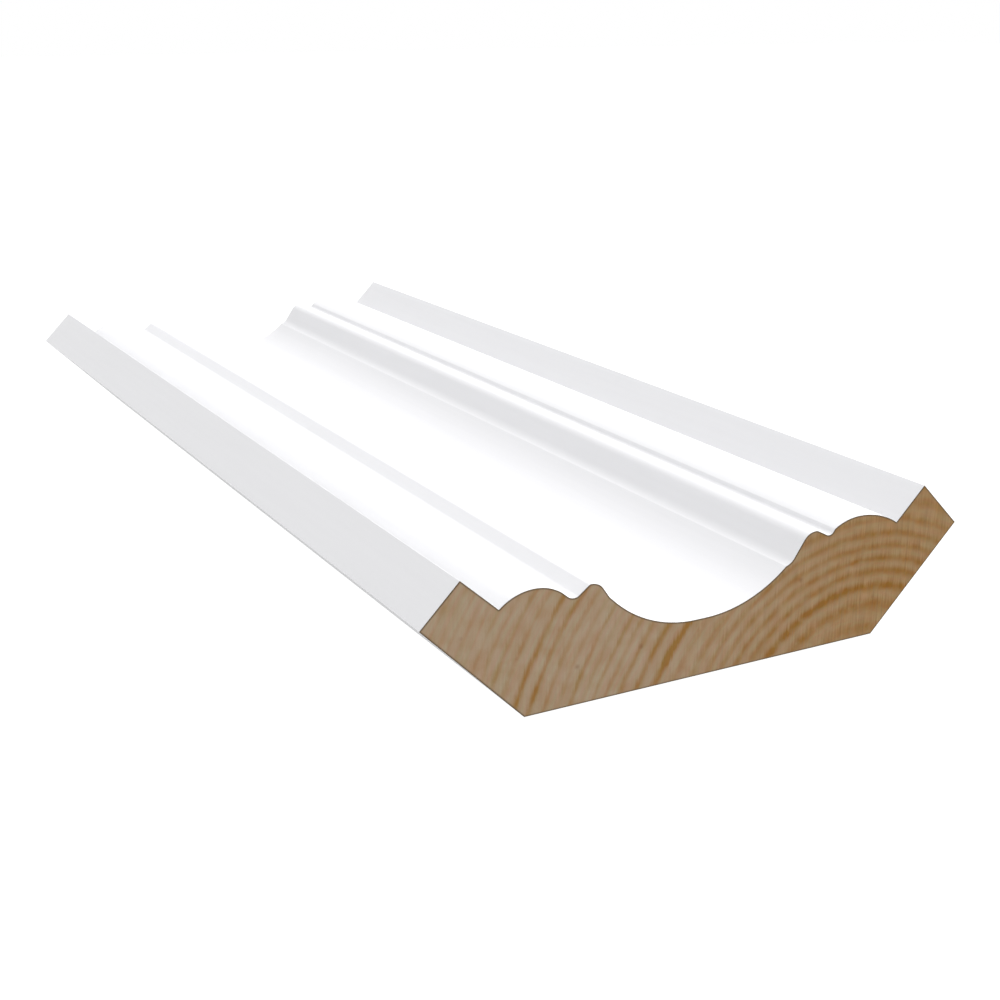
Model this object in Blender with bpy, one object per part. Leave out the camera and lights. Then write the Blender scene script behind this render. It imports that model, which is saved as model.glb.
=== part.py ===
"""A short length of solid-pine crown moulding, primed white, lying on its flat back.

The section lies in the XZ plane and runs along Y. The wall side is at -X and the ceiling side at +X.
The back is at Z = 0, and the origin is on it, under the middle of the length. All lengths are in metres
and all angles in degrees.
"""

import math

import bmesh
import bpy

# Overall sizes
WIDTH = 0.1110
LENGTH = 0.2450

# Sprung back: the two bevels stand at a right angle, to bear on the wall and on the ceiling
SPRING_ANGLE = 45.0
BEVEL_HEIGHT = 0.01875

# Wall side, from the outer corner inwards
WALL_EDGE = 0.0101
WALL_FILLET = 0.00925
WALL_FILLET_FALL = 41.75
WALL_TORUS_RUN = 0.00645
WALL_TORUS_RISE = 0.0024
WALL_SHOULDER_RUN = 0.00515
WALL_SHOULDER_DROP = 0.00164
WALL_QUIRK_SLOPE = 40.0
WALL_QUIRK_DEPTH = 0.00138
WALL_QUIRK_RADIUS = 0.0020
WALL_BEAD_RUN = 0.00325
WALL_BEAD_RISE = 0.00185
WALL_BEAD_HOLLOW = 0.0015
WALL_BEAD_CROWN = 0.00087
WALL_BEAD_RADIUS = 0.0028
WALL_FLANK_SLOPE = 55.0
WALL_FLANK = 0.00205
WALL_FOOT_RADIUS = 0.0020
WALL_LEDGE_SLOPE = 41.0
WALL_LEDGE = 0.0004

# Ceiling side, from the outer corner inwards
CEILING_EDGE = 0.0119
CEILING_FILLET = 0.00865
CEILING_FILLET_FALL = 45.0
CEILING_TORUS_RUN = 0.0088
CEILING_TORUS_RISE = 0.00265
CEILING_SHOULDER_RUN = 0.0056
CEILING_SHOULDER_DROP = 0.00158
CEILING_QUIRK_SLOPE = 56.0
CEILING_QUIRK_DEPTH = 0.00098
CEILING_QUIRK_RADIUS = 0.0010
CEILING_BEAD_RUN = 0.00317
CEILING_BEAD_RISE = 0.00128
CEILING_BEAD_HOLLOW = 0.00145
CEILING_BEAD_CROWN = 0.0015
CEILING_BEAD_RADIUS = 0.0030
CEILING_FLANK_SLOPE = 56.0
CEILING_FLANK = 0.00352
CEILING_FOOT_RADIUS = 0.00315
CEILING_LEDGE_SLOPE = 17.0
CEILING_LEDGE = 0.0001

# Cove, which fills the space between the two ledges
COVE_FLOOR = 0.01055
COVE_FLAT = 0.00225

# Round stretches are drawn in chords of at most this turn, and creases above this angle stay crisp
ARC_STEP = 3.0
CREASE_ANGLE = 6.0

# Colours are linear
PRIMER_COLOUR = (0.83, 0.83, 0.84, 1.0)
PRIMER_ROUGHNESS = 0.5
PINE_COLOUR = (0.36, 0.23, 0.12, 1.0)
PINE_ROUGHNESS = 0.8

# Directions from the centre of an arc, as angles from +X towards +Z
UP = 90.0
DOWN = 270.0


def point_at(centre, radius, angle):
    """The point of a circle at an angle from the horizontal."""
    turn = math.radians(angle)
    return (centre[0] + radius * math.cos(turn), centre[1] + radius * math.sin(turn))


def add_arc(line, centre, radius, start, end):
    """Carries the line round a circle from the start angle, where it stands, to the end angle."""
    steps = max(1, math.ceil(abs(end - start) / ARC_STEP))
    for step in range(1, steps + 1):
        line.append(point_at(centre, radius, start + (end - start) * step / steps))


def add_straight(line, length, slope):
    """Carries the line straight on. A positive slope climbs and a negative one falls."""
    line.append(point_at(line[-1], length, slope))


def level_arc(run, rise):
    """The radius and the turn of an arc that is level at one end and spans this run and rise."""
    radius = (run ** 2 + rise ** 2) / (2 * rise)
    turn = math.degrees(math.atan2(run, radius - rise))
    return radius, turn


def add_torus(line, run, rise, shoulder_run, shoulder_drop):
    """A flat round: up to its level top, then down to its shoulder."""
    top = (line[-1][0] + run, line[-1][1] + rise)
    radius, turn = level_arc(run, rise)
    add_arc(line, (top[0], top[1] - radius), radius, UP + turn, UP)
    radius, turn = level_arc(shoulder_run, shoulder_drop)
    add_arc(line, (top[0], top[1] - radius), radius, UP, UP - turn)


def add_quirk(line, slope, depth, radius):
    """A groove at the shoulder: straight down at a slope, then round to its level floor."""
    round_drop = radius * (1 - math.cos(math.radians(slope)))
    add_straight(line, (depth - round_drop) / math.sin(math.radians(slope)), -slope)
    centre = point_at(line[-1], radius, UP - slope)
    add_arc(line, centre, radius, DOWN - slope, DOWN)


def add_bead(line, run, rise, hollow, crown, radius, flank_slope):
    """A small round: from the quirk's floor through a hollow to its crown, and over into the flank."""
    longest = (run ** 2 + rise ** 2) / (2 * rise)
    share = min(1.0, longest / (hollow + crown))
    hollow = hollow * share
    crown = crown * share
    both = hollow + crown
    reach = math.hypot(run, both - rise)
    slope = math.degrees(math.asin(min(1.0, both / reach)) - math.atan2(both - rise, run))
    floor = line[-1]
    top = (floor[0] + run, floor[1] + rise)
    add_arc(line, (floor[0], floor[1] + hollow), hollow, DOWN, DOWN + slope)
    line.append(point_at((top[0], top[1] - crown), crown, UP + slope))
    add_arc(line, (top[0], top[1] - crown), crown, UP + slope, UP)
    add_arc(line, (top[0], top[1] - radius), radius, UP, UP - flank_slope)


def add_flank(line, slope, length, foot_radius, ledge_slope, ledge):
    """The steep side of the bead, its hollow foot and the narrow ledge at the edge of the cove."""
    add_straight(line, length, -slope)
    centre = point_at(line[-1], foot_radius, UP - slope)
    add_arc(line, centre, foot_radius, DOWN - slope, DOWN - ledge_slope)
    add_straight(line, ledge, -ledge_slope)


def wall_side():
    """Points from the outer corner at the wall inwards, as the distance from that corner and the height."""
    line = [(0.0, BEVEL_HEIGHT)]
    add_straight(line, WALL_EDGE, UP - SPRING_ANGLE)
    add_straight(line, WALL_FILLET, -WALL_FILLET_FALL)
    add_torus(line, WALL_TORUS_RUN, WALL_TORUS_RISE, WALL_SHOULDER_RUN, WALL_SHOULDER_DROP)
    add_quirk(line, WALL_QUIRK_SLOPE, WALL_QUIRK_DEPTH, WALL_QUIRK_RADIUS)
    add_bead(line, WALL_BEAD_RUN, WALL_BEAD_RISE, WALL_BEAD_HOLLOW, WALL_BEAD_CROWN,
             WALL_BEAD_RADIUS, WALL_FLANK_SLOPE)
    add_flank(line, WALL_FLANK_SLOPE, WALL_FLANK, WALL_FOOT_RADIUS, WALL_LEDGE_SLOPE, WALL_LEDGE)
    return line


def ceiling_side():
    """Points from the outer corner at the ceiling inwards, as the distance from that corner and the height."""
    line = [(0.0, BEVEL_HEIGHT)]
    add_straight(line, CEILING_EDGE, SPRING_ANGLE)
    add_straight(line, CEILING_FILLET, -CEILING_FILLET_FALL)
    add_torus(line, CEILING_TORUS_RUN, CEILING_TORUS_RISE, CEILING_SHOULDER_RUN, CEILING_SHOULDER_DROP)
    add_quirk(line, CEILING_QUIRK_SLOPE, CEILING_QUIRK_DEPTH, CEILING_QUIRK_RADIUS)
    add_bead(line, CEILING_BEAD_RUN, CEILING_BEAD_RISE, CEILING_BEAD_HOLLOW, CEILING_BEAD_CROWN,
             CEILING_BEAD_RADIUS, CEILING_FLANK_SLOPE)
    add_flank(line, CEILING_FLANK_SLOPE, CEILING_FLANK, CEILING_FOOT_RADIUS, CEILING_LEDGE_SLOPE,
              CEILING_LEDGE)
    return line


def add_cove(line, far_edge):
    """The wide hollow: an arc down to a short level floor, and an arc up to the far edge."""
    near_edge = line[-1]
    run = (far_edge[0] - near_edge[0] - COVE_FLAT) / 2
    radius, turn = level_arc(run, near_edge[1] - COVE_FLOOR)
    add_arc(line, (near_edge[0] + run, COVE_FLOOR + radius), radius, DOWN - turn, DOWN)
    line.append((far_edge[0] - run, COVE_FLOOR))
    radius, turn = level_arc(run, far_edge[1] - COVE_FLOOR)
    add_arc(line, (far_edge[0] - run, COVE_FLOOR + radius), radius, DOWN, DOWN + turn)


def section_outline():
    """The closed outline of the section in XZ, from the outer corner at the wall over the face."""
    half = WIDTH / 2
    outline = [(inwards - half, height) for inwards, height in wall_side()]
    far_side = [(half - inwards, height) for inwards, height in ceiling_side()]
    far_side.reverse()
    add_cove(outline, far_side[0])
    outline += far_side[1:]
    wall_bevel_run = BEVEL_HEIGHT / math.tan(math.radians(SPRING_ANGLE))
    ceiling_bevel_run = BEVEL_HEIGHT * math.tan(math.radians(SPRING_ANGLE))
    outline.append((half - ceiling_bevel_run, 0.0))
    outline.append((wall_bevel_run - half, 0.0))
    return outline


def make_material(name, colour, roughness):
    material = bpy.data.materials.new(name)
    material.use_nodes = True
    shader = material.node_tree.nodes["Principled BSDF"]
    shader.inputs["Base Color"].default_value = colour
    shader.inputs["Roughness"].default_value = roughness
    shader.inputs["Metallic"].default_value = 0.0
    return material


def make_crown_moulding():
    """The section pushed out along Y as one solid, primed on its run and bare on its two sawn ends."""
    mesh = bpy.data.meshes.new("crown_moulding")
    mesh.materials.append(make_material("white primer", PRIMER_COLOUR, PRIMER_ROUGHNESS))
    mesh.materials.append(make_material("sawn pine", PINE_COLOUR, PINE_ROUGHNESS))
    shape = bmesh.new()
    near_end = shape.faces.new([shape.verts.new((x, -LENGTH / 2, z)) for x, z in section_outline()])
    pushed = bmesh.ops.extrude_face_region(shape, geom=[near_end], use_keep_orig=True)
    far_corners = [part for part in pushed["geom"] if isinstance(part, bmesh.types.BMVert)]
    bmesh.ops.translate(shape, vec=(0.0, LENGTH, 0.0), verts=far_corners)
    bmesh.ops.recalc_face_normals(shape, faces=shape.faces)
    shape.normal_update()
    for face in shape.faces:
        is_end = abs(face.normal.y) > 0.5
        face.material_index = 1 if is_end else 0
    shape.to_mesh(mesh)
    shape.free()
    mesh.shade_smooth()
    mesh.set_sharp_from_angle(angle=math.radians(CREASE_ANGLE))
    moulding = bpy.data.objects.new("crown_moulding", mesh)
    bpy.context.scene.collection.objects.link(moulding)
    return moulding


def main():
    for leftover in list(bpy.data.objects):
        bpy.data.objects.remove(leftover)
    make_crown_moulding()


main()
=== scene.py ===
"""The looks of a short length of solid-pine crown moulding, with a primed run and bare sawn ends.

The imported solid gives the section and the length. The dressed piece is swept from that section by a node
tree, with its arrises eased and its ends sawn. Lengths are in metres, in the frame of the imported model.
"""

import math

import bmesh
import bpy
from bpy.props import FloatProperty, FloatVectorProperty, IntProperty, IntVectorProperty, PointerProperty
from mathutils import Matrix, Vector


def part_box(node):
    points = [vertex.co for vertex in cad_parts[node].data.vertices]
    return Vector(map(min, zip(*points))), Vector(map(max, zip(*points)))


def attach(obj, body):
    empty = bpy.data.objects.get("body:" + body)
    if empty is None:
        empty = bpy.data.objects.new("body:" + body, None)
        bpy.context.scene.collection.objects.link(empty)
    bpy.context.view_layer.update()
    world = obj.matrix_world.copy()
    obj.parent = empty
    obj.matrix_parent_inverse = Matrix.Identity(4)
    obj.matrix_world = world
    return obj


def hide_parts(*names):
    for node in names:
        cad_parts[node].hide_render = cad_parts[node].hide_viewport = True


bl_info = {
    "name": "Primed Crown Moulding",
    "version": (1, 0, 0),
    "blender": (4, 5, 0),
    "location": "3D View > Sidebar > Moulding",
    "description": "Dresses a length of crown moulding in primer and sawn pine, on a light table",
    "category": "Object",
}

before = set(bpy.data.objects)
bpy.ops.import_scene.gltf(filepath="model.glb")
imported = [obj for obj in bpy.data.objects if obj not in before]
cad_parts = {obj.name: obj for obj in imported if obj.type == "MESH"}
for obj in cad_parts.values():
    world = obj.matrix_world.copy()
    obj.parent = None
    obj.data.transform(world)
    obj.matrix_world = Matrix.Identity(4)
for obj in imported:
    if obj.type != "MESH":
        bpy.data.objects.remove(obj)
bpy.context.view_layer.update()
NODE = "crown_moulding"

LOW_CORNER, HIGH_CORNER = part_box(NODE)
LENGTH = HIGH_CORNER.y - LOW_CORNER.y

MILLIMETRE = 0.001

# Points of a mesh closer than this are one point
WELD = 0.000002

# Sockets of a Mix node that blends colours: its factor, its two colours and the blend that it gives
FACTOR = 0
COLOUR_A = 6
COLOUR_B = 7
BLEND = 2

# A face whose normal points up by less than this looks down: the back and the two bevels, which get the
# greyer back primer with its painted shade
LOOKS_DOWN = -0.05

ACRYLIC_IOR = 1.48


def from_hex(code):
    """An sRGB hex colour as linear RGBA, which is what Blender's colour values hold."""
    channels = [int(code[place:place + 2], 16) / 255 for place in (1, 3, 5)]
    linear = [c / 12.92 if c <= 0.04045 else ((c + 0.055) / 1.055) ** 2.4 for c in channels]
    return (*linear, 1.0)


class MouldingSizes(bpy.types.PropertyGroup):
    """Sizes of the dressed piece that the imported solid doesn't give."""

    arris_radius: FloatProperty(
        name="Arris radius", description="Rounding of the outer corners under the primer",
        default=0.00006, min=0.00003, max=0.002, unit="LENGTH")
    corner_fillet: FloatProperty(
        name="Corner fillet", description="Primer gathered in the inner corners",
        default=0.00015, min=0.00002, max=0.002, unit="LENGTH")
    row_spacing: FloatProperty(
        name="Row spacing", description="Distance between the sections that the run is made of",
        default=0.0025, min=0.0005, max=0.05, unit="LENGTH")
    waviness: FloatProperty(
        name="Waviness", description="Depth of the slow waves that sanding leaves under the primer",
        default=0.00002, min=0.0, max=0.0005, unit="LENGTH")
    wave_length: FloatProperty(
        name="Wave length", description="Distance from one slow wave to the next",
        default=0.05, min=0.005, max=0.5, unit="LENGTH")
    torn_edge: FloatProperty(
        name="Torn edge", description="Width of the edge that the saw breaks away round each sawn end",
        default=0.00006, min=0.00001, max=0.001, unit="LENGTH")
    # Width over which the sawn ends darken towards their edge
    dark_rim: FloatProperty(
        name="Dark rim", description="Width of the darker rim inside the torn edge",
        default=0.0003, min=0.00001, max=0.001, unit="LENGTH")
    seed: IntProperty(name="Seed", description="Picks another set of slow waves", default=4, min=0)


class MouldingRings(bpy.types.PropertyGroup):
    """Where the growth rings of the stick lie on its sawn ends."""

    pith: FloatVectorProperty(
        name="Pith", description="Place of the tree's pith, below the back on the ceiling side",
        default=(0.033, 0.0, -0.014), size=3, subtype="XYZ", unit="LENGTH")
    drift_angle: FloatProperty(
        name="Drift angle",
        description="Direction in which wider rings have their middle, from +X towards +Z",
        default=math.radians(-82.0), subtype="ANGLE")
    drift: FloatProperty(
        name="Drift",
        description="How far the middle of a ring moves for each metre that the ring widens",
        default=0.14, min=0.0, max=0.95)
    first_width: FloatProperty(
        name="First width", description="Width of a year's growth at the pith",
        default=0.0046, min=0.0003, max=0.02, unit="LENGTH")
    half_width_at: FloatProperty(
        name="Half width at",
        description="Distance from the pith at which a year's growth is half as wide",
        default=0.102, min=0.01, unit="LENGTH")
    cycle: FloatProperty(
        name="Cycle", description="Distance from one run of wide rings to the next",
        default=0.029, min=0.001, unit="LENGTH")
    cycle_start: FloatProperty(
        name="Cycle start",
        description="Distance from the pith at which a run of narrow rings is at its middle",
        default=0.0347, unit="LENGTH")
    swing: FloatProperty(
        name="Swing", description="How many rings a run of narrow rings gains",
        default=0.34, min=0.0, max=2.0)
    first_year: FloatProperty(
        name="First year", description="Share of a year already grown at the pith",
        default=0.04)
    dark_years: IntVectorProperty(
        name="Dark years", description="Years from the pith with the darkest summer growth",
        default=(6, 13, 14, 22, 23), size=5, min=0)
    dark_strengths: FloatVectorProperty(
        name="Dark strengths", description="How dark the summer growth of each of those years is",
        default=(0.9, 1.1, 0.7, 0.6, 0.75), size=5, min=0.0, max=2.0)
    heart_from: FloatProperty(
        name="Heartwood from",
        description="Place across the width where the colour of the heartwood comes in",
        default=-0.015, unit="LENGTH")
    heart_to: FloatProperty(
        name="Heartwood to",
        description="Place across the width where the colour of the heartwood is full",
        default=0.035, unit="LENGTH")


class MouldingColours(bpy.types.PropertyGroup):
    """Colours of the finishes."""

    primer: FloatVectorProperty(
        name="Primer", description="Flat white factory primer",
        default=from_hex("#DEDEE0"), size=4, subtype="COLOR", min=0.0, max=1.0)
    sap_early: FloatVectorProperty(
        name="Sapwood, spring", description="Pale spring growth in the sapwood",
        default=from_hex("#9C8871"), size=4, subtype="COLOR", min=0.0, max=1.0)
    sap_late: FloatVectorProperty(
        name="Sapwood, summer", description="Dark summer growth in the sapwood",
        default=from_hex("#87622C"), size=4, subtype="COLOR", min=0.0, max=1.0)
    heart_early: FloatVectorProperty(
        name="Heartwood, spring", description="Pale spring growth in the heartwood",
        default=from_hex("#967A57"), size=4, subtype="COLOR", min=0.0, max=1.0)
    heart_late: FloatVectorProperty(
        name="Heartwood, summer", description="Dark summer growth in the heartwood",
        default=from_hex("#815611"), size=4, subtype="COLOR", min=0.0, max=1.0)
    resin: FloatVectorProperty(
        name="Resin", description="Resin canals in the sawn ends",
        default=from_hex("#6E452A"), size=4, subtype="COLOR", min=0.0, max=1.0)
    # Colour that the sawn ends darken to towards their edge
    rim: FloatVectorProperty(
        name="Rim", description="Darker wood at the edge of the sawn ends",
        default=from_hex("#564733"), size=4, subtype="COLOR", min=0.0, max=1.0)


class MouldingStage(bpy.types.PropertyGroup):
    """The camera, the light table and the studio light."""

    camera_place: FloatVectorProperty(
        name="Camera place", description="Where the camera stands",
        default=(-0.15088, -0.32326, 0.11159), size=3, subtype="XYZ", unit="LENGTH")
    camera_yaw: FloatProperty(
        name="Camera yaw", description="Turn of the view from +Y towards +X",
        default=math.radians(28.63), subtype="ANGLE")
    camera_pitch: FloatProperty(
        name="Camera pitch", description="Fall of the view below the horizon",
        default=math.radians(17.84), subtype="ANGLE")
    focal_length: FloatProperty(
        name="Focal length", description="Focal length in millimetres",
        default=55.98, min=10.0, max=300.0)
    sensor_width: FloatProperty(
        name="Sensor width", description="Width of the camera's sensor in millimetres",
        default=36.0, min=5.0, max=100.0)
    table_size: FloatProperty(
        name="Table size", description="Side of the light table", default=6.0, min=0.5, unit="LENGTH")
    table_glow: FloatProperty(
        name="Table glow", description="Light that the table gives off by itself",
        default=1.0, min=0.0)
    sky: FloatProperty(
        name="Sky", description="Strength of the even light all round",
        default=1.0, min=0.0)
    left_sky: FloatProperty(
        name="Left sky", description="Strength of that light on the left, where the studio is darker",
        default=0.8, min=0.0)
    softbox_power: FloatProperty(
        name="Softbox power", description="Power of the softbox, in watts",
        default=28.0, min=0.0)
    softbox_size: FloatProperty(
        name="Softbox size", description="Side of the softbox", default=1.2, min=0.05, unit="LENGTH")
    softbox_place: FloatVectorProperty(
        name="Softbox place", description="Where the softbox hangs, above and to the right",
        default=(1.0, 0.25, 1.2), size=3, subtype="XYZ", unit="LENGTH")


def add_node(tree, kind, inputs=None, **settings):
    """Adds a node with settings. Inputs that are nodes or sockets are linked, and the rest are values."""
    made = tree.nodes.new(kind)
    for name, value in settings.items():
        setattr(made, name, value)
    for place, value in (inputs or {}).items():
        if isinstance(value, bpy.types.Node):
            tree.links.new(value.outputs[0], made.inputs[place])
        elif isinstance(value, bpy.types.NodeSocket):
            tree.links.new(value, made.inputs[place])
        else:
            made.inputs[place].default_value = value
    return made


def spaced(*sizes):
    """The scale of a pattern whose features are this large along X, Y and Z, in millimetres."""
    return [1.0 / (size * MILLIMETRE) for size in sizes]


def fanned(width, angle):
    """The scale of a pattern round the pith, by its width in millimetres and its angle in degrees."""
    return (1.0 / (width * MILLIMETRE), 1.0 / math.radians(angle), 1.0)


def walk(edges):
    """The corners of a closed loop of edges, in order."""
    start = edges[0].verts[0]
    loop = [start]
    behind = edges[0]
    here = behind.other_vert(start)
    ring = set(edges)
    while here is not start:
        loop.append(here)
        behind = next(edge for edge in here.link_edges if edge in ring and edge is not behind)
        here = behind.other_vert(here)
    return loop


def packed_section():
    """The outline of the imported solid's near end as (x, z) points, anticlockwise with +X to the right."""
    solid = bmesh.new()
    solid.from_mesh(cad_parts[NODE].data)
    bmesh.ops.remove_doubles(solid, verts=solid.verts, dist=WELD)
    near = {corner for corner in solid.verts if corner.co.y < LOW_CORNER.y + WELD}
    near_faces = {face for face in solid.faces if near.issuperset(face.verts)}
    rim = [edge for edge in solid.edges if len(near_faces.intersection(edge.link_faces)) == 1]
    outline = [Vector((corner.co.x, corner.co.z)) for corner in walk(rim)]
    solid.free()
    if signed_area(outline) < 0:
        outline.reverse()
    return outline


def signed_area(outline):
    """The area inside an outline, positive where it goes round anticlockwise."""
    return sum(here.cross(after) for here, after in neighbours(outline)) / 2


def neighbours(outline):
    """Each point of a closed outline with the one after it."""
    return zip(outline, outline[1:] + outline[:1])


def eased(outline, arris_radius, corner_fillet):
    """The outline with an arc at each real corner: a worn arris outside, and gathered primer inside.

    A point a little way from each arc, on edges long enough for one, keeps the shading of the flats flat.
    """
    least_turn = math.radians(20.0)
    arc_step = math.radians(15.0)
    most_of_edge = 0.45
    support = 0.00004
    long_edge = 0.001
    made = []
    for place, corner in enumerate(outline):
        behind = corner - outline[place - 1]
        ahead = outline[(place + 1) % len(outline)] - corner
        turn = math.atan2(behind.cross(ahead), behind.dot(ahead))
        if abs(turn) < least_turn:
            made.append(corner)
            continue
        radius = arris_radius if turn > 0 else corner_fillet
        room = most_of_edge * min(behind.length, ahead.length)
        reach = min(radius * math.tan(abs(turn) / 2), room)
        radius = reach / math.tan(abs(turn) / 2)
        way_in = behind.normalized()
        way_out = ahead.normalized()
        start = corner - way_in * reach
        side = Vector((-way_in.y, way_in.x)) * math.copysign(radius, turn)
        centre = start + side
        steps = max(2, math.ceil(abs(turn) / arc_step))
        if behind.length > long_edge:
            made.append(start - way_in * support)
        for step in range(steps + 1):
            spoke = -side
            spoke.rotate(Matrix.Rotation(turn * step / steps, 2))
            made.append(centre + spoke)
        if ahead.length > long_edge:
            made.append(corner + way_out * (reach + support))
    return made


def meeting(start, way, other_start, other_way):
    """Where two lines cross, each given by a point and a direction, or the first point if in line."""
    lean = way.cross(other_way)
    in_line = 0.000001
    if abs(lean) < in_line:
        return start
    return start + way * ((other_start - start).cross(other_way) / lean)


def inset(outline, distance):
    """The outline moved inwards. An edge too short to last is left out, and its ends share a place."""
    ways = [(after - here).normalized() for here, after in neighbours(outline)]
    starts = [here + Vector((-way.y, way.x)) * distance for here, way in zip(outline, ways)]
    kept = list(range(len(outline)))
    while True:
        corners = [meeting(starts[edge], ways[edge], starts[before], ways[before])
                   for before, edge in zip(kept[-1:] + kept[:-1], kept)]
        lengths = [(after - here).dot(ways[edge])
                   for edge, (here, after) in zip(kept, neighbours(corners))]
        least = min(lengths)
        if least > 0:
            break
        kept.pop(lengths.index(least))
    moved = dict(zip(kept, corners))
    after = moved[kept[0]]
    for place in reversed(range(len(outline))):
        after = moved.setdefault(place, after)
    return [moved[place] for place in range(len(outline))]


def run_tree():
    """A node tree that sweeps a section in XZ along Y, lets its upper side wave a little, and primes it."""
    tree = bpy.data.node_groups.new("Moulding run", "GeometryNodeTree")
    tree.interface.new_socket(name="Section", in_out="INPUT", socket_type="NodeSocketGeometry")
    for name, kind in (("Length", "NodeSocketFloat"), ("Row spacing", "NodeSocketFloat"),
                       ("Waviness", "NodeSocketFloat"), ("Wave length", "NodeSocketFloat"),
                       ("Seed", "NodeSocketInt"), ("Face primer", "NodeSocketMaterial"),
                       ("Back primer and shade", "NodeSocketMaterial")):
        tree.interface.new_socket(name=name, in_out="INPUT", socket_type=kind)
    tree.interface.new_socket(name="Run", in_out="OUTPUT", socket_type="NodeSocketGeometry")
    given = tree.nodes.new("NodeGroupInput").outputs

    # The section is laid flat, and the path from the near end to the far one stands it up again
    section = add_node(tree, "GeometryNodeMeshToCurve", {"Mesh": given["Section"]})
    section = add_node(tree, "GeometryNodeTransform",
                       {"Geometry": section, "Rotation": (math.radians(90.0), 0.0, 0.0)})
    half = add_node(tree, "ShaderNodeMath", {0: given["Length"], 1: 0.5}, operation="MULTIPLY")
    far = add_node(tree, "ShaderNodeCombineXYZ", {"Y": half})
    near = add_node(tree, "ShaderNodeVectorMath", {0: far, 3: -1.0}, operation="SCALE")
    path = add_node(tree, "GeometryNodeCurvePrimitiveLine", {"Start": near, "End": far})
    path = add_node(tree, "GeometryNodeResampleCurve",
                    {"Curve": path, "Length": given["Row spacing"]}, mode="LENGTH")
    path = add_node(tree, "GeometryNodeSetCurveNormal", {"Curve": path}, mode="Z_UP")
    run = add_node(tree, "GeometryNodeCurveToMesh", {"Curve": path, "Profile Curve": section})
    run = add_node(tree, "GeometryNodeFlipFaces", {"Mesh": run})

    # The waves only dip, and only where the run looks up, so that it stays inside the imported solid
    normal = add_node(tree, "ShaderNodeSeparateXYZ", {0: add_node(tree, "GeometryNodeInputNormal")})
    faces_up = add_node(tree, "ShaderNodeClamp", {"Value": normal.outputs["Z"]})
    faces_down = add_node(tree, "FunctionNodeCompare", {"A": normal.outputs["Z"], "B": LOOKS_DOWN},
                          operation="LESS_THAN")
    waves = add_node(tree, "ShaderNodeMath", {0: 1.0, 1: given["Wave length"]}, operation="DIVIDE")
    waves = add_node(tree, "ShaderNodeTexNoise", {"Scale": waves, "W": given["Seed"], "Detail": 1.0},
                     noise_dimensions="4D")
    dip = add_node(tree, "ShaderNodeMath", {0: waves, 1: given["Waviness"]}, operation="MULTIPLY")
    dip = add_node(tree, "ShaderNodeMath", {0: dip, 1: faces_up}, operation="MULTIPLY")
    dip = add_node(tree, "ShaderNodeMath", {0: dip, 1: -1.0}, operation="MULTIPLY")
    dip = add_node(tree, "ShaderNodeCombineXYZ", {"Z": dip})
    run = add_node(tree, "GeometryNodeSetPosition", {"Geometry": run, "Offset": dip})

    run = add_node(tree, "GeometryNodeRealizeInstances", {"Geometry": run})
    run = add_node(tree, "GeometryNodeSetMaterial", {"Geometry": run, "Material": given["Face primer"]})
    # Faces that look down take the greyer back primer: a thin coat, and partly painted shade
    run = add_node(tree, "GeometryNodeSetMaterial", {"Geometry": run, "Selection": faces_down,
                                                     "Material": given["Back primer and shade"]})
    add_node(tree, "NodeGroupOutput", {"Run": run})
    return tree


def swept_run(outline, length, sizes, face_coat, back_coat_and_shade):
    """The mesh of the primed run, open at both ends."""
    mesh = bpy.data.meshes.new("moulding section")
    edges = [(place, (place + 1) % len(outline)) for place in range(len(outline))]
    mesh.from_pydata([(x, 0.0, z) for x, z in outline], edges, [])
    guide = bpy.data.objects.new("moulding section", mesh)
    bpy.context.scene.collection.objects.link(guide)
    tree = run_tree()
    sweep = guide.modifiers.new("Moulding run", "NODES")
    sweep.node_group = tree
    values = {"Length": length, "Row spacing": sizes.row_spacing, "Waviness": sizes.waviness,
              "Wave length": sizes.wave_length, "Seed": sizes.seed,
              "Face primer": face_coat, "Back primer and shade": back_coat_and_shade}
    for socket in tree.interface.items_tree:
        if socket.name in values:
            sweep[socket.identifier] = values[socket.name]
    evaluated = guide.evaluated_get(bpy.context.evaluated_depsgraph_get())
    run = bpy.data.meshes.new_from_object(evaluated)
    guide.modifiers.remove(sweep)
    bpy.data.objects.remove(guide)
    bpy.data.meshes.remove(mesh)
    return run


def close_end(shape, rim_weight, outwards, sizes, material_index):
    """Saws the near end (outwards is -1) or the far one (1): a torn edge, a dark rim and a flat face."""
    open_edges = [edge for edge in shape.edges
                  if edge.is_boundary and all(end.co.y * outwards > 0 for end in edge.verts)]
    loop = walk(open_edges)
    outline = [Vector((corner.co.x, corner.co.z)) for corner in loop]
    if signed_area(outline) < 0:
        loop.reverse()
        outline.reverse()
    sawn = outwards * LENGTH / 2
    torn = ring_at(shape, inset(outline, sizes.torn_edge), sawn)
    inner = ring_at(shape, inset(outline, sizes.torn_edge + sizes.dark_rim), sawn)
    for corner in loop + torn:
        corner[rim_weight] = 1.0
    made = []
    for outer_ring, inner_ring in ((loop, torn), (torn, inner)):
        for (a, b), (c, d) in zip(neighbours(outer_ring), neighbours(inner_ring)):
            corners = list(dict.fromkeys((a, b, d, c)))
            if len(corners) > 2:
                made.append(shape.faces.new(corners))
    made.append(shape.faces.new(list(dict.fromkeys(inner))))
    for face in made:
        face.material_index = material_index
    made[-1].normal_update()
    bmesh.ops.triangulate(shape, faces=[made[-1]], ngon_method="EAR_CLIP")


def ring_at(shape, outline, depth):
    """A mesh corner for each point of the outline, at a depth along the run. Equal points share one."""
    corners = {}
    for point in outline:
        key = tuple(point)
        if key not in corners:
            corners[key] = shape.verts.new((point.x, depth, point.y))
    return [corners[tuple(point)] for point in outline]


def new_material(name):
    """A new material and its shader."""
    material = bpy.data.materials.new(name)
    material.use_nodes = True
    return material, material.node_tree.nodes["Principled BSDF"]


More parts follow.
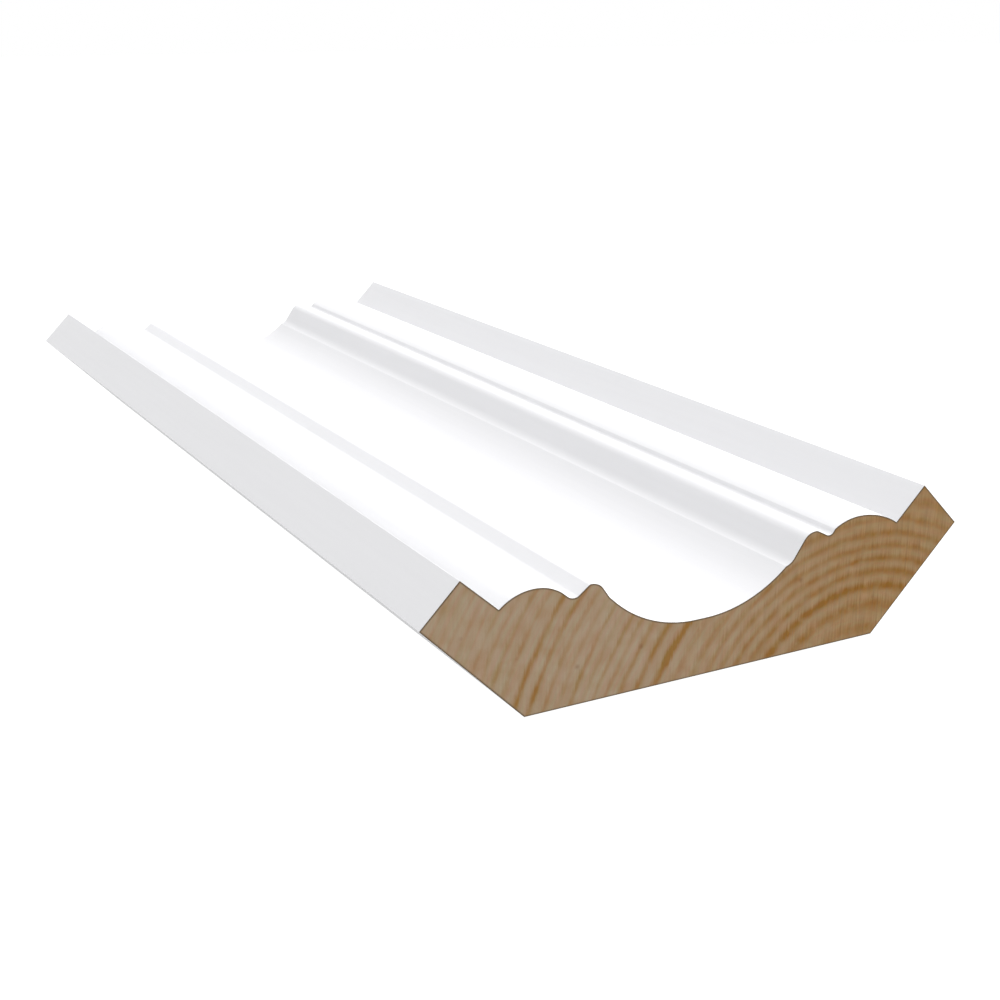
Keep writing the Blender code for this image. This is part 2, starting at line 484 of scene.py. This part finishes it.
def face_primer(colours):
    """Flat white acrylic primer, sprayed on a knifed and sanded face: white, with hardly any gloss.

    Grain a millimetre wide still lifts it, and the spray leaves a fine orange peel.
    """
    material, shader = new_material("sprayed white primer")
    shader.inputs["IOR"].default_value = ACRYLIC_IOR
    tree = material.node_tree
    place = add_node(tree, "ShaderNodeTexCoord").outputs["Object"]
    grain = add_node(tree, "ShaderNodeMapping", {"Vector": place, "Scale": spaced(1.1, 40.0, 1.1)})
    grain = add_node(tree, "ShaderNodeTexNoise", {"Vector": grain, "Scale": 1.0, "Detail": 3.0})
    peel = add_node(tree, "ShaderNodeMapping", {"Vector": place, "Scale": spaced(1.4, 1.4, 1.4)})
    peel = add_node(tree, "ShaderNodeTexNoise", {"Vector": peel, "Scale": 1.0, "Detail": 2.0})
    tone = add_node(tree, "ShaderNodeMapRange", {"Value": grain, "From Min": 0.3, "From Max": 0.7,
                                                 "To Min": 0.985, "To Max": 1.0})
    colour = add_node(tree, "ShaderNodeVectorMath", {0: tuple(colours.primer)[:3], 3: tone},
                      operation="SCALE")
    gloss = add_node(tree, "ShaderNodeMapRange", {"Value": peel, "From Min": 0.3, "From Max": 0.7,
                                                  "To Min": 0.5, "To Max": 0.6})
    relief = add_node(tree, "ShaderNodeMath", {0: grain, 1: peel}, operation="ADD")
    relief = add_node(tree, "ShaderNodeBump", {"Height": relief, "Strength": 0.3, "Distance": 0.00002})
    tree.links.new(colour.outputs[0], shader.inputs["Base Color"])
    tree.links.new(gloss.outputs[0], shader.inputs["Roughness"])
    tree.links.new(relief.outputs[0], shader.inputs["Normal"])
    return material


def back_primer_and_shade(colours):
    """The same primer in one thin coat on the planed back and bevels, with the grain in view: greyer,
    partly for the thin coat and partly as painted shade on these faces that look down.
    """
    material, shader = new_material("thin white primer with painted shade")
    shader.inputs["IOR"].default_value = ACRYLIC_IOR
    shader.inputs["Roughness"].default_value = 0.65
    tree = material.node_tree
    place = add_node(tree, "ShaderNodeTexCoord").outputs["Object"]
    grain = add_node(tree, "ShaderNodeMapping", {"Vector": place, "Scale": spaced(2.0, 80.0, 2.0)})
    grain = add_node(tree, "ShaderNodeTexNoise", {"Vector": grain, "Scale": 1.0, "Detail": 4.0})
    # The coat is 0.65 to 0.75 as bright as the primer colour, partly for its thinness and partly as painted
    # shade
    tone = add_node(tree, "ShaderNodeMapRange", {"Value": grain, "From Min": 0.3, "From Max": 0.7,
                                                 "To Min": 0.65, "To Max": 0.75})
    colour = add_node(tree, "ShaderNodeVectorMath", {0: tuple(colours.primer)[:3], 3: tone},
                      operation="SCALE")
    relief = add_node(tree, "ShaderNodeBump", {"Height": grain, "Strength": 0.4, "Distance": 0.00004})
    tree.links.new(colour.outputs[0], shader.inputs["Base Color"])
    tree.links.new(relief.outputs[0], shader.inputs["Normal"])
    return material


def growth(tree, place, rings):
    """How far each place has grown from the pith. Rings are circles whose middle drifts as they widen."""
    way = (math.cos(rings.drift_angle), 0.0, math.sin(rings.drift_angle))
    left = 1.0 - rings.drift ** 2
    along = add_node(tree, "ShaderNodeVectorMath", {0: place, 1: way}, operation="DOT_PRODUCT")
    along = add_node(tree, "ShaderNodeMath", {0: along.outputs["Value"], 1: rings.drift},
                     operation="MULTIPLY")
    far = add_node(tree, "ShaderNodeVectorMath", {0: place, 1: place}, operation="DOT_PRODUCT")
    far = add_node(tree, "ShaderNodeMath", {0: far.outputs["Value"], 1: left}, operation="MULTIPLY")
    root = add_node(tree, "ShaderNodeMath", {0: along, 1: along, 2: far}, operation="MULTIPLY_ADD")
    root = add_node(tree, "ShaderNodeMath", {0: root}, operation="SQRT")
    root = add_node(tree, "ShaderNodeMath", {0: root, 1: along}, operation="SUBTRACT")
    return add_node(tree, "ShaderNodeMath", {0: root, 1: left}, operation="DIVIDE")


def years(tree, grown, rings):
    """The years grown at each distance from the pith: ever narrower, in runs of wide and of narrow ones."""
    slower = add_node(tree, "ShaderNodeMath", {0: grown, 1: 0.5 / rings.half_width_at, 2: 1.0},
                      operation="MULTIPLY_ADD")
    count = add_node(tree, "ShaderNodeMath", {0: grown, 1: 1.0 / rings.first_width}, operation="MULTIPLY")
    count = add_node(tree, "ShaderNodeMath", {0: count, 1: slower, 2: rings.first_year},
                     operation="MULTIPLY_ADD")
    turn = math.tau / rings.cycle
    wave = add_node(tree, "ShaderNodeMath", {0: grown, 1: turn, 2: -turn * rings.cycle_start},
                    operation="MULTIPLY_ADD")
    wave = add_node(tree, "ShaderNodeMath", {0: wave}, operation="SINE")
    return add_node(tree, "ShaderNodeMath", {0: wave, 1: rings.swing, 2: count}, operation="MULTIPLY_ADD")


def summer_growth(tree, count, grown, heart, rings):
    """How dark the summer growth is: a broad soft band near the pith and a thin line far from it."""
    band = add_node(tree, "ShaderNodeMath", {0: count, 1: math.tau}, operation="MULTIPLY")
    band = add_node(tree, "ShaderNodeMath", {0: band}, operation="COSINE")
    band = add_node(tree, "ShaderNodeMapRange", {"Value": band, "From Min": 1.0, "From Max": -1.0})
    thinness = add_node(tree, "ShaderNodeMapRange", {"Value": grown, "From Min": 0.03, "From Max": 0.08,
                                                     "To Min": 1.2, "To Max": 2.4})
    band = add_node(tree, "ShaderNodeMath", {0: band, 1: thinness}, operation="POWER")
    year = add_node(tree, "ShaderNodeMath", {0: count}, operation="FLOOR")
    strength = add_node(tree, "ShaderNodeTexWhiteNoise", {"W": year}, noise_dimensions="1D")
    strength = add_node(tree, "ShaderNodeMapRange", {"Value": strength.outputs["Value"],
                                                     "To Min": 0.25, "To Max": 0.5})
    last_years = add_node(tree, "ShaderNodeMapRange", {"Value": grown, "From Min": 0.08, "From Max": 0.095,
                                                       "To Min": 1.0, "To Max": 0.4})
    strength = add_node(tree, "ShaderNodeMath", {0: strength, 1: last_years}, operation="MULTIPLY")
    near_pith = add_node(tree, "ShaderNodeMapRange", {"Value": grown, "From Min": 0.03, "From Max": 0.05,
                                                      "To Min": 0.22, "To Max": 0.0})
    strength = add_node(tree, "ShaderNodeMath", {0: near_pith, 1: heart, 2: strength},
                        operation="MULTIPLY_ADD")
    for dark_year, darkness in zip(rings.dark_years, rings.dark_strengths):
        chosen = add_node(tree, "ShaderNodeMath", {0: year, 1: float(dark_year), 2: 0.5},
                          operation="COMPARE")
        chosen = add_node(tree, "ShaderNodeMath", {0: chosen, 1: darkness}, operation="MULTIPLY")
        strength = add_node(tree, "ShaderNodeMath", {0: strength, 1: chosen}, operation="MAXIMUM")
    return add_node(tree, "ShaderNodeMath", {0: band, 1: strength}, operation="MULTIPLY")


def sawn_pine(colours, rings):
    """Pine end grain off a fine saw: matt, with frayed summer growth, resin canals and a dark rim."""
    material, shader = new_material("sawn pine end grain")
    shader.inputs["Specular IOR Level"].default_value = 0.25
    tree = material.node_tree
    place = add_node(tree, "ShaderNodeTexCoord").outputs["Object"]

    # The rings wander by a quarter of a millimetre over a centimetre or so, because no year grows evenly
    wander = add_node(tree, "ShaderNodeMapping", {"Vector": place, "Scale": spaced(11.0, 11.0, 11.0)})
    wander = add_node(tree, "ShaderNodeTexNoise", {"Vector": wander, "Scale": 1.0, "Detail": 1.0})
    wander = add_node(tree, "ShaderNodeVectorMath", {0: wander.outputs["Color"], 1: (0.5, 0.5, 0.5)},
                      operation="SUBTRACT")
    wander = add_node(tree, "ShaderNodeVectorMath", {0: wander, 3: 0.001}, operation="SCALE")
    section = add_node(tree, "ShaderNodeVectorMath", {0: place, 1: wander}, operation="ADD")
    section = add_node(tree, "ShaderNodeVectorMath", {0: section, 1: rings.pith}, operation="SUBTRACT")
    section = add_node(tree, "ShaderNodeVectorMath", {0: section, 1: (1.0, 0.0, 1.0)},
                       operation="MULTIPLY")
    grown = growth(tree, section, rings)

    # The colour of the heartwood comes in across the stick, and not ring by ring
    across = add_node(tree, "ShaderNodeSeparateXYZ", {0: place}).outputs["X"]
    heart = add_node(tree, "ShaderNodeMapRange", {"Value": across, "From Min": rings.heart_from,
                                                  "From Max": rings.heart_to})

    # The blade leaves upright scratches 0.4 mm apart, which fray the bands by up to a tenth of a year
    scratches = add_node(tree, "ShaderNodeMapping", {"Vector": place, "Scale": spaced(0.38, 1000.0, 6.0)})
    scratches = add_node(tree, "ShaderNodeTexNoise", {"Vector": scratches, "Scale": 1.0, "Detail": 2.0})
    fray = add_node(tree, "ShaderNodeMath", {0: scratches, 1: 0.5}, operation="SUBTRACT")
    count = years(tree, grown, rings)
    count = add_node(tree, "ShaderNodeMath", {0: fray, 1: 0.35, 2: count}, operation="MULTIPLY_ADD")
    late = summer_growth(tree, count, grown, heart, rings)

    # Along a ring the summer growth comes and goes every half a centimetre, by the angle round the pith
    parts = add_node(tree, "ShaderNodeSeparateXYZ", {0: section})
    angle = add_node(tree, "ShaderNodeMath", {0: parts.outputs["Z"], 1: parts.outputs["X"]},
                     operation="ARCTAN2")
    fan = add_node(tree, "ShaderNodeCombineXYZ", {0: grown, 1: angle})
    patches = add_node(tree, "ShaderNodeMapping", {"Vector": fan, "Scale": fanned(3.3, 4.8)})
    patches = add_node(tree, "ShaderNodeTexNoise", {"Vector": patches, "Scale": 1.0, "Detail": 2.0})
    patches = add_node(tree, "ShaderNodeMapRange", {"Value": patches, "From Min": 0.3, "From Max": 0.7,
                                                    "To Min": 0.6, "To Max": 1.3})
    mottling = add_node(tree, "ShaderNodeMapping", {"Vector": place, "Scale": spaced(2.9, 2.9, 2.9)})
    mottling = add_node(tree, "ShaderNodeTexNoise", {"Vector": mottling, "Scale": 1.0, "Detail": 2.0})
    mottling = add_node(tree, "ShaderNodeMapRange", {"Value": mottling, "From Min": 0.35, "From Max": 0.75,
                                                     "To Min": 0.0, "To Max": 0.35})
    late = add_node(tree, "ShaderNodeMath", {0: late, 1: patches, 2: mottling}, operation="MULTIPLY_ADD",
                    use_clamp=True)

    early = add_node(tree, "ShaderNodeMix", {FACTOR: heart, COLOUR_A: tuple(colours.sap_early),
                                             COLOUR_B: tuple(colours.heart_early)}, data_type="RGBA")
    dark = add_node(tree, "ShaderNodeMix", {FACTOR: heart, COLOUR_A: tuple(colours.sap_late),
                                            COLOUR_B: tuple(colours.heart_late)}, data_type="RGBA")
    wood = add_node(tree, "ShaderNodeMix", {FACTOR: late, COLOUR_A: early.outputs[BLEND],
                                            COLOUR_B: dark.outputs[BLEND]}, data_type="RGBA")

    # Threads of fibres under a millimetre wide follow the rings, pinkish and greenish in turn
    threads = add_node(tree, "ShaderNodeMapping", {"Vector": fan, "Scale": fanned(0.77, 6.4)})
    threads = add_node(tree, "ShaderNodeTexNoise", {"Vector": threads, "Scale": 1.0, "Detail": 2.0})
    hue = add_node(tree, "ShaderNodeMapRange", {"Value": threads, "From Min": 0.35, "From Max": 0.65})
    hue = add_node(tree, "ShaderNodeMix", {FACTOR: hue, COLOUR_A: (1.05, 0.97, 0.97, 1.0),
                                           COLOUR_B: (0.96, 1.02, 1.0, 1.0)}, data_type="RGBA")
    wood = add_node(tree, "ShaderNodeVectorMath", {0: wood.outputs[BLEND], 1: hue.outputs[BLEND]},
                    operation="MULTIPLY")
    tone = add_node(tree, "ShaderNodeMath", {0: threads, 1: scratches}, operation="ADD")
    tone = add_node(tree, "ShaderNodeMapRange", {"Value": tone, "From Min": 0.7, "From Max": 1.3,
                                                 "To Min": 0.94, "To Max": 1.05})
    wood = add_node(tree, "ShaderNodeVectorMath", {0: wood, 3: tone}, operation="SCALE")

    # The scratches show more in the heartwood, by up to a tenth lighter and darker
    cut = add_node(tree, "ShaderNodeMath", {0: fray, 1: heart}, operation="MULTIPLY")
    cut = add_node(tree, "ShaderNodeMath", {0: cut, 1: 0.45, 2: 1.0}, operation="MULTIPLY_ADD")
    wood = add_node(tree, "ShaderNodeVectorMath", {0: wood, 3: cut}, operation="SCALE")

    # Resin canals are a few dark dots about a millimetre across
    canals = add_node(tree, "ShaderNodeMapping", {"Vector": place, "Scale": spaced(9.1, 1000.0, 9.1)})
    canals = add_node(tree, "ShaderNodeTexVoronoi", {"Vector": canals, "Scale": 1.0})
    canals = add_node(tree, "ShaderNodeMapRange", {"Value": canals, "From Min": 0.02, "From Max": 0.07,
                                                   "To Min": 0.4, "To Max": 0.0})
    wood = add_node(tree, "ShaderNodeMix", {FACTOR: canals, COLOUR_A: wood,
                                            COLOUR_B: tuple(colours.resin)}, data_type="RGBA")

    # The rim round the edge of each sawn end is darker, and the saw leaves the summer growth a little
    # smoother and proud of the rest
    rim = add_node(tree, "ShaderNodeAttribute", attribute_name="rim", attribute_type="GEOMETRY")
    wood = add_node(tree, "ShaderNodeMix", {FACTOR: rim.outputs["Fac"], COLOUR_A: wood.outputs[BLEND],
                                            COLOUR_B: tuple(colours.rim)}, data_type="RGBA")
    gloss = add_node(tree, "ShaderNodeMapRange", {"Value": late, "To Min": 0.88, "To Max": 0.72})
    relief = add_node(tree, "ShaderNodeMath", {0: late, 1: scratches}, operation="ADD")
    relief = add_node(tree, "ShaderNodeBump", {"Height": relief, "Strength": 0.4, "Distance": 0.00003})
    tree.links.new(wood.outputs[BLEND], shader.inputs["Base Color"])
    tree.links.new(gloss.outputs[0], shader.inputs["Roughness"])
    tree.links.new(relief.outputs[0], shader.inputs["Normal"])
    return material


def opal_acrylic(glow):
    """The opal acrylic top of a light table, lit from below: an even white that takes hardly any shadow."""
    material, shader = new_material("opal acrylic")
    shader.inputs["Base Color"].default_value = from_hex("#404040")
    shader.inputs["Roughness"].default_value = 0.6
    shader.inputs["Emission Color"].default_value = from_hex("#FFFFFF")
    shader.inputs["Emission Strength"].default_value = glow
    return material


class MOULDING_OT_length(bpy.types.Operator):
    """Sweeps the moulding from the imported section, saws its ends and gives it its finishes"""

    bl_idname = "moulding.make_length"
    bl_label = "Make moulding length"

    def execute(self, context):
        sizes = context.scene.moulding_sizes
        colours = context.scene.moulding_colours
        outline = eased(packed_section(), sizes.arris_radius, sizes.corner_fillet)
        run_length = LENGTH - 2 * sizes.torn_edge
        mesh = swept_run(outline, run_length, sizes, face_primer(colours), back_primer_and_shade(colours))
        mesh.name = "primed_moulding"
        mesh.materials.append(sawn_pine(colours, context.scene.moulding_rings))
        shape = bmesh.new()
        shape.from_mesh(mesh)
        bmesh.ops.remove_doubles(shape, verts=shape.verts, dist=WELD)
        rim_weight = shape.verts.layers.float.new("rim")
        for outwards in (-1, 1):
            close_end(shape, rim_weight, outwards, sizes, len(mesh.materials) - 1)
        bmesh.ops.recalc_face_normals(shape, faces=shape.faces)
        shape.to_mesh(mesh)
        shape.free()
        mesh.shade_smooth()
        mesh.set_sharp_from_angle(angle=math.radians(30.0))
        piece = bpy.data.objects.new("primed_moulding", mesh)
        context.scene.collection.objects.link(piece)
        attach(piece, "root")
        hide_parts(NODE)
        return {"FINISHED"}


class MOULDING_OT_stage(bpy.types.Operator):
    """Sets up the light table, the even studio light, the softbox and the camera"""

    bl_idname = "moulding.make_stage"
    bl_label = "Make stage"

    def execute(self, context):
        stage = context.scene.moulding_stage
        scene = context.scene
        scene.view_settings.view_transform = "Standard"

        half = stage.table_size / 2
        mesh = bpy.data.meshes.new("light_table")
        corners = [(-half, -half, 0.0), (half, -half, 0.0), (half, half, 0.0), (-half, half, 0.0)]
        mesh.from_pydata(corners, [], [(0, 1, 2, 3)])
        mesh.materials.append(opal_acrylic(stage.table_glow))
        table = bpy.data.objects.new("light_table", mesh)
        scene.collection.objects.link(table)

        world = bpy.data.worlds.new("white studio")
        world.use_nodes = True
        tree = world.node_tree
        way = add_node(tree, "ShaderNodeSeparateXYZ",
                       {0: add_node(tree, "ShaderNodeTexCoord").outputs["Generated"]})
        strength = add_node(tree, "ShaderNodeMapRange", {"Value": way.outputs["X"], "From Min": -1.0,
                                                         "From Max": 0.0, "To Min": stage.left_sky,
                                                         "To Max": stage.sky})
        light = tree.nodes["Background"]
        light.inputs["Color"].default_value = from_hex("#FFFFFF")
        tree.links.new(strength.outputs[0], light.inputs["Strength"])
        scene.world = world

        lamp = bpy.data.lights.new("softbox", "AREA")
        lamp.energy = stage.softbox_power
        lamp.size = stage.softbox_size
        softbox = bpy.data.objects.new("softbox", lamp)
        softbox.location = stage.softbox_place
        softbox.rotation_euler = Vector(stage.softbox_place).to_track_quat("Z", "Y").to_euler()
        scene.collection.objects.link(softbox)

        lens = bpy.data.cameras.new("camera")
        lens.sensor_width = stage.sensor_width
        lens.lens = stage.focal_length
        lens.clip_start = 0.01
        camera = bpy.data.objects.new("camera", lens)
        camera.location = stage.camera_place
        camera.rotation_euler = (math.radians(90.0) - stage.camera_pitch, 0.0, -stage.camera_yaw)
        scene.collection.objects.link(camera)
        scene.camera = camera
        return {"FINISHED"}


class MOULDING_PT_panel(bpy.types.Panel):
    """Sizes, rings, colours and stage of the moulding, with the buttons that make it"""

    bl_idname = "MOULDING_PT_panel"
    bl_label = "Crown moulding"
    bl_space_type = "VIEW_3D"
    bl_region_type = "UI"
    bl_category = "Moulding"

    def draw(self, context):
        for name in GROUPS:
            group = getattr(context.scene, name)
            box = self.layout.box()
            for entry in group.bl_rna.properties:
                if entry.identifier not in ("name", "rna_type"):
                    box.prop(group, entry.identifier)
        self.layout.operator(MOULDING_OT_length.bl_idname)
        self.layout.operator(MOULDING_OT_stage.bl_idname)


GROUPS = {
    "moulding_sizes": MouldingSizes,
    "moulding_rings": MouldingRings,
    "moulding_colours": MouldingColours,
    "moulding_stage": MouldingStage,
}
CLASSES = (*GROUPS.values(), MOULDING_OT_length, MOULDING_OT_stage, MOULDING_PT_panel)


def register():
    for each in CLASSES:
        bpy.utils.register_class(each)
    for name, group in GROUPS.items():
        setattr(bpy.types.Scene, name, PointerProperty(type=group))


def unregister():
    for name in GROUPS:
        delattr(bpy.types.Scene, name)
    for each in reversed(CLASSES):
        bpy.utils.unregister_class(each)


def main():
    register()
    bpy.ops.moulding.make_length()
    bpy.ops.moulding.make_stage()


if __name__ == "__main__":
    main()
